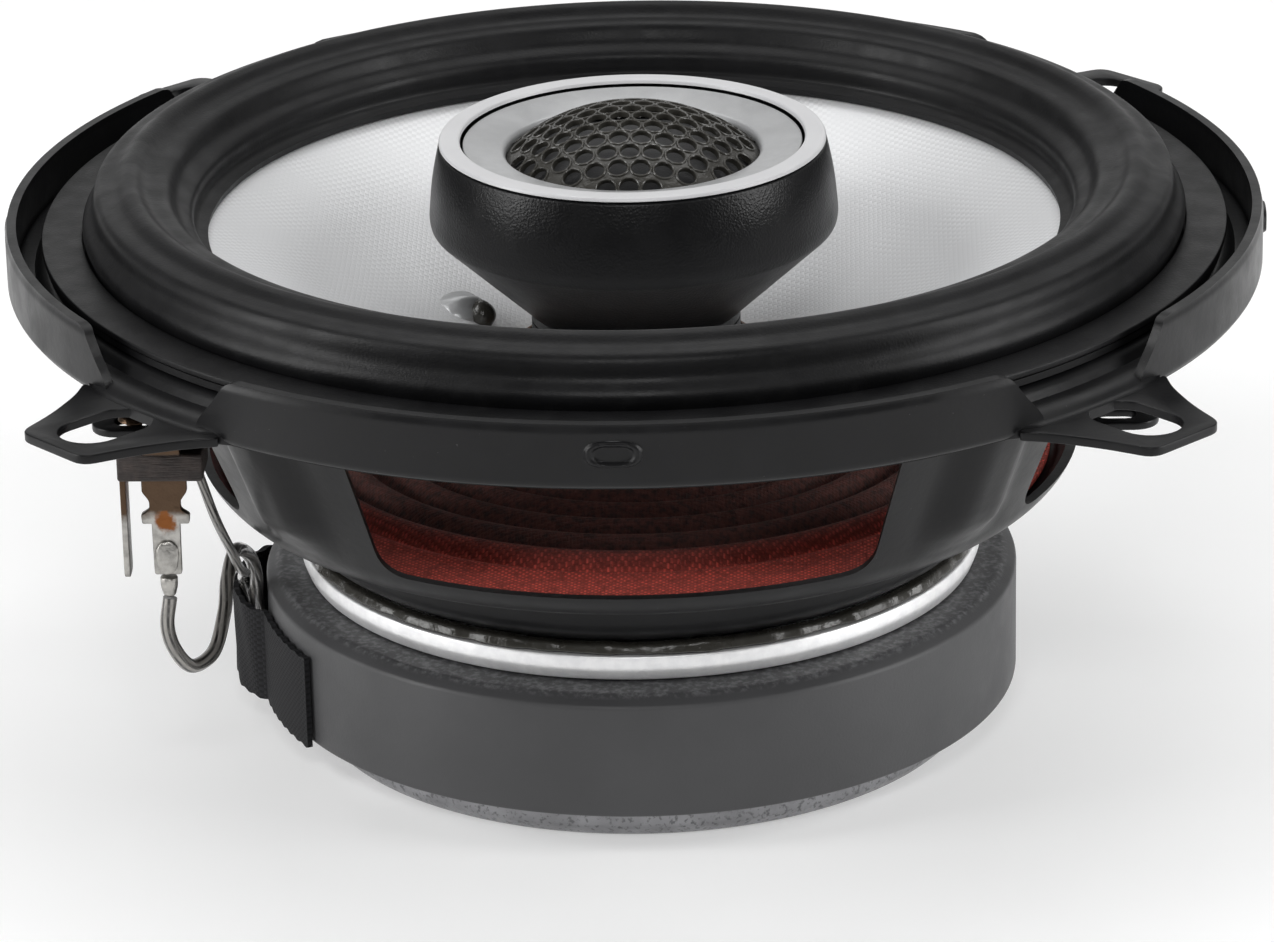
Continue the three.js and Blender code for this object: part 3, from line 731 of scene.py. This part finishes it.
def basket_shell():
    line = eased([
        (18, BASE_Z), (33.4, BASE_Z, 1.5), (37.6, 23.6, 1.6), (39.4, 28.2, 0.8), (41.2, LEDGE_Z, 0.8),
        (45.4, LEDGE_Z, 0.9), (47.0, 31.0, 1.0), (50.9, 40.5), (54.5, 49.0, 1.0), (56.7, 53.0, 0.8),
        (58.8, SHELF_TOP - SHEET, 0.6), (62.3, SHELF_TOP - SHEET, 0.4), (63.3, STEP_TOP - SHEET, 0.4),
        (RIM_R - 1.3, STEP_TOP - SHEET, 0.7), (RIM_R + 0.1, TAB_BOTTOM + 0.02, 0.7),
        (RIM_R + 0.9, TAB_BOTTOM + 0.02),
    ], loop=False)
    dense = []
    for a, b in zip(line, line[1:]):
        parts = max(1, int(np.linalg.norm(b - a) / 1.6))
        dense += [a + (b - a) * k / parts for k in range(parts)]
    dense.append(line[-1])
    shell = lathe(sheet(dense, SHEET), True, 360, ribs)
    opening = eased([(*corner, 3.0) for corner in WINDOW], steps=8)
    return subtract(shell, four(lambda: outward(plate(opening, 30, 60))))


def rim_wall():
    """One upright rim wall, centred on +X, with flared ends, eased top corners and an edge curled inward."""
    bend = 0.9
    heights = np.concatenate([
        np.linspace(TAB_BOTTOM, TAB_BOTTOM + bend, 9), np.linspace(52.8, 56, 9),
        np.linspace(56.2, RIM_TOP, 14),
    ])
    corner = 2.2
    half = 36.2 + 2.8 * smooth(heights, 57.6, STEP_TOP - 1.2)
    above = np.clip(heights - (RIM_TOP - corner), 0, corner)
    half = np.radians(half) - (corner - np.sqrt(corner ** 2 - above ** 2)) / RIM_R
    below = np.clip(TAB_BOTTOM + bend - heights, 0, bend)
    curl = 0.2 * smooth(heights, 57.4, RIM_TOP) + 0.9 * (bend - np.sqrt(bend ** 2 - below ** 2))
    across = np.linspace(-1, 1, 121)
    rows = []
    for radius in (RIM_R, RIM_R - SHEET):
        side = []
        for h, a, c in zip(heights, half, curl):
            angle = a * across
            x, y = (radius - c) * np.cos(angle), (radius - c) * np.sin(angle)
            side.append(np.stack([x, y, 0 * angle + h], -1))
        rows.append(np.array(side))
    outer, inner = rows
    return open_strip(np.vstack([outer, inner[::-1]]))


def tab():
    radius, turn = 3.3, np.linspace(-math.pi / 2, math.pi / 2, 16)
    hole = [(73.9 + radius * math.cos(a), radius * math.sin(a)) for a in turn]
    hole += [(70.3 - radius * math.cos(a), -radius * math.sin(a)) for a in turn]
    root = math.radians(11.0)
    right = [(66.2, -10.9, 0.9), (68.9, -8.9, 1.6), (73.7, -6.6, 2.0), (79.0, -4.9, 1.5)]
    outline = eased(right + [(x, -y, e) for x, y, e in right[::-1]], steps=6)
    arc = [(65.9 * math.cos(a), 65.9 * math.sin(a)) for a in np.linspace(root, -root, 14)]
    return plate([*map(tuple, outline), *arc], TAB_BOTTOM, TAB_TOP, [hole], edge=0.16)


def pip():
    """A pressed pip in a rim wall: a raised rim round a flatter middle."""
    u, v = np.meshgrid(np.linspace(-1.15, 1.15, 41), np.linspace(-1.2, 1.2, 31))
    reach = (np.abs(u) ** 3.2 + np.abs(v) ** 2.6) ** (1 / 2.9)
    height = 0.42 * smooth(reach, 1.08, 0.9) - 0.38 * smooth(reach, 0.82, 0.6)
    half_width, half_height = 2.75, 1.3
    angle = u * half_width / RIM_R
    radius = RIM_R - 0.03 + height
    points = np.stack([radius * np.cos(angle), radius * np.sin(angle), 55.4 + v * half_height], -1)
    rows, columns = u.shape
    faces = [(i * columns + j, i * columns + j + 1, (i + 1) * columns + j + 1, (i + 1) * columns + j)
             for i in range(rows - 1) for j in range(columns - 1)]
    return points.reshape(-1, 3), faces


def ear(side):
    y, half, end, hole_x = -39.2, 2.6, 53.9, 49.6
    turn = np.linspace(-math.pi / 2, math.pi / 2, 14)
    outline = [(34.4, y - half)] + [(end - half + half * math.cos(a), y + half * math.sin(a)) for a in turn]
    outline.append((38.6, y + half))
    hole = [(hole_x + 0.9 + 1.1 * math.cos(a), y + 1.1 * math.sin(a)) for a in turn]
    hole += [(hole_x - 0.9 - 1.1 * math.cos(a), y - 1.1 * math.sin(a)) for a in turn]
    points, faces = plate(outline, 47.6, 48.4, [hole], edge=0.15)
    return points * (side, 1, 1), faces


def basket():
    parts = [basket_shell(), four(rim_wall), four(tab, 45), four(pip), ear(1), ear(-1)]
    piece("basket", together(*parts), sharp=32)


# Cone and its suspension

def cone_line():
    return curve([(13.7, 38.9), (17.5, 40.6), (24.0, 43.7), (32.0, 47.9), (40.0, 52.1), (47.0, 55.0)], 40)


SURROUND_ROLL = [
    (58.2, 56.0), (57.8, 58.6), (56.8, 60.8), (55.4, 62.1), (53.8, 62.6), (52.2, 62.2), (50.4, 61.4),
    (48.7, 60.2), (47.4, 58.4), (46.7, 56.7),
]
SURROUND_RIDGES = 5
RIDGE_HEIGHT = 0.55


def surround_profile():
    """The top line runs from the lip under the gasket over the roll to the cone's edge."""
    roll = curve(SURROUND_ROLL, 220)
    run = np.gradient(roll, axis=0)
    outward_normal = np.stack([run[:, 1], -run[:, 0]], -1) / np.linalg.norm(run, axis=1)[:, None]
    ridges = (1 - np.cos(2 * np.pi * SURROUND_RIDGES * np.linspace(0, 1, len(roll)))) / 2
    roll += RIDGE_HEIGHT * ridges[:, None] * outward_normal
    return sheet(np.vstack([[(62.6, 55.8), (58.4, 55.8)], roll, [(46.2, 56.3), (45.3, 56.1)]]), 0.75)


def spider_line():
    r = np.linspace(13.4, 44.4, 190)
    wave = np.sin(2 * np.pi * (r - 36.4) / 4.3 + np.pi / 2)
    height = 31.1 + 1.0 * wave * smooth(r, 14.0, 17.5) * smooth(r, 39.6, 37.0)
    return np.stack([r, height - 0.6 * smooth(r, 37.0, 41.0)], -1)


def suspension():
    weave_steps = 320
    piece("cone", lathe(sheet(cone_line(), 0.55), True, weave_steps), CONE)
    flexing("surround", lathe(surround_profile(), True, weave_steps))
    flexing("spider", lathe(sheet(spider_line(), 0.5), True, weave_steps))
    piece("gasket_ring", turned([
        (58.5, 56.0, 0.15), (62.9, 56.0, 0.15), (62.9, 56.7, 0.2), (58.5, 56.7, 0.2),
    ]))
    piece("voice_coil_former", turned([
        (12.85, 12.5), (13.2, 12.5), (13.2, 41.4, 0.1), (12.85, 41.4, 0.1),
    ]), CONE)
    turns = 34

    def wound(r, z, angle):
        return r + 0.04 * np.abs(np.sin(np.pi * turns * (z - 15) / 9)) * (r > 13.5), z
    coil = [(13.25, 15)] + [(13.65, z) for z in np.linspace(15.1, 23.9, 4 * turns)] + [(13.25, 24)]
    piece("voice_coil", turned(coil, 128, wound), CONE)


def dab(centre, size, seed, spread=0.22):
    """A lump of set glue."""
    bm = bmesh.new()
    bmesh.ops.create_icosphere(bm, subdivisions=4, radius=1.0)
    points, faces = from_bmesh(bm)
    push = np.zeros(len(points))
    random = np.random.default_rng(seed)
    for _ in range(7):
        push += np.sin(points @ random.normal(0, 2.2, 3) + random.uniform(0, 6.28))
    points = points * (1 + spread * push[:, None] / 7)
    return points * size + centre, faces


def cone_glue():
    x, y, z = LEAD_GLUE
    big = dab((x - 1.6, y + 0.4, z - 0.2), (3.0, 2.6, 1.9), 3)
    small = dab((x - 3.2, y + 1.5, z), (1.8, 1.5, 1.0), 5)
    piece("cone_lead_glue", together(big, small), CONE, look="face_paint")
    # The second lump, in the node's own glue finish, stands in for the hole where the lead goes through the
    # cone: painted shade.
    piece("cone_lead_glue", dab((x + 0.9, y - 0.7, z - 0.5), (1.5, 1.5, 1.7), 8), CONE, suffix="hole")


# Wiring

def polar(radius, degrees, z):
    return (radius * math.cos(math.radians(degrees)), radius * math.sin(math.radians(degrees)), z)


LEAD_A = [
    (-46.9, -39.3, 29.0), (-47.3, -39.5, 26.1), (-46.9, -38.5, 23.1), (-45.4, -36.5, 20.1),
    (-43.5, -33.5, 20.2), (-42.6, -29.0, 22.8), (-42.6, -24.5, 24.7), (-42.2, -20.0, 26.0),
    (-41.4, -14.0, 23.1), (-41.3, -8.5, 18.4), polar(42.0, -173.5, 14.3), polar(42.0, -180, 9.5),
    polar(BUNDLE_R, -186, 4.8), polar(40.6, -187, 2.0), polar(38.4, -187, 1.3), polar(24, -186.6, 1.3),
    polar(9, -183, 1.3), (-3.9, -0.3, 1.6), (-2.6, -0.4, 5.0), (-1.9, -1.2, 14), (-1.9, -0.8, 23.4),
]
LEAD_B = [
    (-43.3, -39.4, 42.7), (-42.3, -36.0, 36.6), (-41.4, -30.0, 30.2), (-41.0, -26.5, 26.8),
    (-40.9, -22.5, 24.6), (-41.5, -18.0, 22.6), (-42.4, -12.0, 19.7), polar(43.2, -178, 13.9),
    polar(42.8, -184.5, 8.8), polar(BUNDLE_R, -189.5, 4.6), polar(40.4, -189.8, 1.9),
    polar(38.2, -189.6, 1.2), polar(24, -190.4, 1.2), polar(9, -194, 1.2), (-1.7, 1.7, 1.8),
    (0.8, 1.6, 5.4), (2.4, 0.4, 14),
    (2.4, 0.2, 24), (4.2, 0, 34), (4.4, 0, 44), (5.0, 0, 47.9), (6.3, 0, 50.2), (9.0, 0, 50.5),
    (12.6, 0, 50.4), (13.6, 0, 50.6), (15.6, 0, 52.8), (16.5, 0, 54.3), (17.1, 0, 56), (17.3, 0, 58.6),
]
LEAD_C = [
    (-1.9, 0, 38.2), (-3.4, 0, 42.6), (-5.0, 0, 47.9), (-6.3, 0, 50.2), (-9.0, 0, 50.5), (-12.6, 0, 50.4),
    (-13.6, 0, 50.6), (-15.6, 0, 52.8), (-16.5, 0, 54.3), (-17.1, 0, 56), (-17.3, 0, 58.6),
]


def tinsel_route(side):
    angle = 156 - 5 * side
    return [
        polar(19.6, angle, 40.2), polar(23, angle + 4, 38.0), (-31 - 0.8 * side, 2 + 1.6 * side, 36.6),
        (-40 - 1.4 * side, -10 + 1.4 * side, 38.6), (-48 - 1.8 * side, -22 + side, 42.4),
        (-49.2 - 1.8 * side, -29, 44.2), (-47.2 - 1.8 * side, -35.6, 44.4),
    ]


def lead(node, route, radius, steps, body=ROOT, look=None):
    geometry, along, around = tube(route, radius, steps)
    obj = piece(node, geometry, body, look=look)
    for name, values in (("along", along), ("around", around)):
        layer = obj.data.attributes.new(name, "FLOAT", "POINT")
        layer.data.foreach_set("value", values)
    return obj


def wiring():
    lead("tweeter_lead_a", LEAD_A, 0.75, 420)
    lead("tweeter_lead_b", LEAD_B, 0.5, 460)
    lead("tweeter_lead_c", LEAD_C, 0.5, 90)
    for node, side in (("tinsel_lead_a", 1), ("tinsel_lead_b", -1)):
        route = tinsel_route(side)
        obj = lead(node, route, 0.45, 160, body=None, look="clear_lead")
        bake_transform(obj)
    piece("tweeter_capacitor", shifted(capped([
        (0, 24.2), (2.9, 24.2, 0.5), (3.1, 25.2, 0.3), (2.95, 25.8, 0.3), (3.1, 26.4, 0.3),
        (3.1, 37.4, 0.5), (0, 37.4),
    ], 64), -1.9, 0, 0))


def terminal():
    board = bar((-51.3, -42.2, 42.9), (-42.6, -36.2, 45.9), 0.35)
    piece("terminal_board", board)
    foot = bar((-51.0, -41.6, 46.1), (-43.4, -37.0, 46.7), 0.2)
    post = bar((-51.0, -41.0, 46.4), (-46.4, -37.6, 47.4), 0.3)
    piece("terminal_bracket", together(foot, post))
    piece("terminal_rivet", shifted(capped([
        (0, 47.6), (0.8, 47.6), (0.8, 48.6), (1.7, 48.6, 0.15), (1.3, 49.2, 0.3), (0, 49.3),
    ], 48), -49.6, -39.2, 0))
    eyelet = moved(turned([(0.4, -1.9, 0.1), (0.75, -1.9, 0.15), (0.75, 1.9, 0.15), (0.4, 1.9, 0.1)], 48),
                   Matrix.Rotation(math.pi / 2, 4, "Y"))
    piece("terminal_eyelet", shifted(eyelet, -46.6, -42.6, 46.75))
    half = [
        (1.4, 31.7, 0.3), (1.45, 37.3, 0.1), (2.4, 37.3, 0.2), (2.5, 38.3, 0.2), (1.6, 38.9, 0.3),
        (1.6, 39.8, 0.3), (2.3, 40.8, 0.2), (2.3, 42.7, 0.05),
    ]
    outline = eased(half + [(-x, z, e) for x, z, e in half[::-1]])
    blade = moved(plate(outline, -0.4, 0.4, edge=0.12), Matrix.Rotation(math.pi / 2, 4, "X"))
    piece("terminal_blade_wide", shifted(blade, TERMINAL_X, TERMINAL_Y, 0))
    side = eased([(-40.6, 31.6, 0.9), (-37.8, 31.6, 0.9), (-37.8, 42.7, 0.2), (-40.6, 42.7, 0.2)])
    piece("terminal_blade_narrow", outward(plate(side, -51.3, -50.7, edge=0.12)))
    drop = capped([(0, 29.2), (0.6, 29.3, 0.2), (0.9, 30.4, 0.4), (0.9, 31.45, 0.3), (0, 31.5)], 40)
    pad = dab((-46.9, -39.85, 33.6), (1.15, 0.42, 1.9), 11, 0.3)
    piece("terminal_solder", together(shifted(drop, TERMINAL_X, TERMINAL_Y, 0), pad))


def lead_tape():
    """Cloth tape pressed round the magnet and bulged over the two leads."""
    inner_r, thickness = MAGNET_R + 0.25, 0.6
    angles = np.linspace(-147.5, -194, 96)
    heights = np.linspace(0, 1, 26)
    near = np.clip(np.abs(angles + 180) / 13, 0, 1)
    bulge = 3.0 * np.sqrt(np.clip(np.cos(near * math.pi / 2), 0, 1))
    layers = []
    for lift in (0.0, thickness):
        rows = []
        for t in heights:
            ragged = 0.12 * np.sin(angles * 2.3 + 9 * t)
            z = 4.2 + 10.3 * t + ragged * abs(2 * t - 1) ** 4
            crease = 0.10 * np.sin(angles * 0.9 + 4 * t) * smooth(bulge, 0.1, 1.5)
            r = inner_r + lift + bulge + (crease if lift else 0)
            a = np.radians(angles)
            rows.append(np.stack([r * np.cos(a), r * np.sin(a), z], -1))
        layers.append(np.array(rows))
    inner, outer = layers
    piece("lead_tape", open_strip(np.concatenate([outer, inner[::-1]])))


# Tweeter

GRILLE = {
    "base_r": 13.4, "base": 62.9, "apex": 68.0, "thick": 0.45, "pitch": 2.4, "hole_r": 1.0,
    "pattern_r": 12.9,
}


def grille():
    g = GRILLE
    rise = g["apex"] - g["base"]
    sphere_r = (g["base_r"] ** 2 + rise ** 2) / (2 * rise)
    centre = g["apex"] - sphere_r
    spread = math.asin(g["base_r"] / sphere_r)
    angles = np.linspace(spread, 0, 26)
    outer = [(sphere_r * math.sin(a), centre + sphere_r * math.cos(a)) for a in angles]
    inner_r = sphere_r - g["thick"]
    inner = [(inner_r * math.sin(a), centre + inner_r * math.cos(a)) for a in angles[::-1]]
    cap = lathe(inner + outer, False, 120)
    drill = capped([(0, -1.6), (g["hole_r"], -1.6), (g["hole_r"], 1.2), (0, 1.2)], 20)
    burr = np.linspace(-2.6, 2.6, 8)
    wire = [(g["hole_r"] + 0.12 + 0.13 * math.cos(a), 0.13 * math.sin(a)) for a in burr]
    rim = lathe(wire, True, 20)
    holes, rims = [], []
    rows = math.ceil(g["pattern_r"] / (g["pitch"] * 0.866))
    for row in range(-rows, rows + 1):
        for column in range(-rows - 2, rows + 3):
            x = (column + 0.5 * (row % 2)) * g["pitch"]
            y = row * g["pitch"] * math.sin(math.pi / 3)
            if math.hypot(x, y) > g["pattern_r"]:
                continue
            normal = Vector((x, y, math.sqrt(sphere_r ** 2 - x * x - y * y))).normalized()
            turn = normal.to_track_quat("Z", "Y").to_matrix().to_4x4()
            place = Matrix.Translation(Vector((0, 0, centre)) + normal * sphere_r) @ turn
            holes.append(moved(drill, place))
            rims.append(moved(rim, place))
    pierced = subtract(cap, together(*holes))
    piece("tweeter_grille", together(pierced, *rims), look="black_glue")


def tweeter():
    piece("tweeter_post", turned([
        (3.6, 17.6), (4.8, 17.6, 0.2), (4.8, 21.6), (11.2, 21.6, 0.3), (11.2, 44.8), (7.0, 44.8, 0.2),
        (7.0, 23.2), (3.6, 23.2),
    ]))
    body = turned([
        (7.0, 45.0), (11.2, 45.0), (11.2, 45.9), (21.6, 55.6, 0.4), (21.8, 56.6, 0.5), (21.4, 60.9, 1.5),
        (20.6, 64.6, 0.25), (19.0, 64.6), (20.2, 57.2), (15.3, 51.2), (7.0, 51.2),
    ])
    side = [(1, -52.4), (16.3, -52.4), (13.9, -49.75), (1, -49.75)]
    groove = moved(plate(side, -1.3, 1.3), Matrix.Rotation(-math.pi / 2, 4, "X"))
    grooves = together(groove, spun(groove, 180))
    piece("tweeter_housing", subtract(body, grooves))
    piece("tweeter_trim_ring", turned([
        (18.3, 64.8), (20.6, 64.8, 0.1), (20.4, TWEETER_TOP, 0.2), (18.4, TWEETER_TOP, 0.2),
    ]))
    piece("tweeter_face_plate", turned([
        (13.5, 62.7), (17.9, 62.7), (18.05, 64.6, 0.2), (13.8, 63.75, 0.3), (13.5, 63.3, 0.2),
    ]))
    dome = curve([(12.6, 61.9), (11.6, 62.9), (8.9, 63.75), (4.5, 64.35), (0.0, 64.5)], 40)
    under = dome[::-1] * (0.968, 1.0) - (0.0, 0.4)
    under[0, 0], dome[-1, 0] = 0.0, 0.0
    piece("tweeter_dome", lathe(np.vstack([under, dome]), False), DOME)
    roll = eased([
        (12.8, 61.7), (13.4, 61.7, 0.2), (14.2, 62.0, 0.5), (15.2, 61.4, 0.4), (16.4, 61.1),
    ], loop=False)
    flexing("tweeter_suspension", lathe(sheet(roll, 0.3)))
    grille()


def carried_over():
    """The CAD nodes that stay are shown with their own finish."""
    for node, obj in frame["nodes"].items():
        obj.data.materials.clear()
        obj.data.materials.append(LOOKS[SLOTS[node]])


camera()
studio()
floor()
wiring()
terminal()
motor()
basket()
suspension()
cone_glue()
lead_tape()
tweeter()
carried_over()
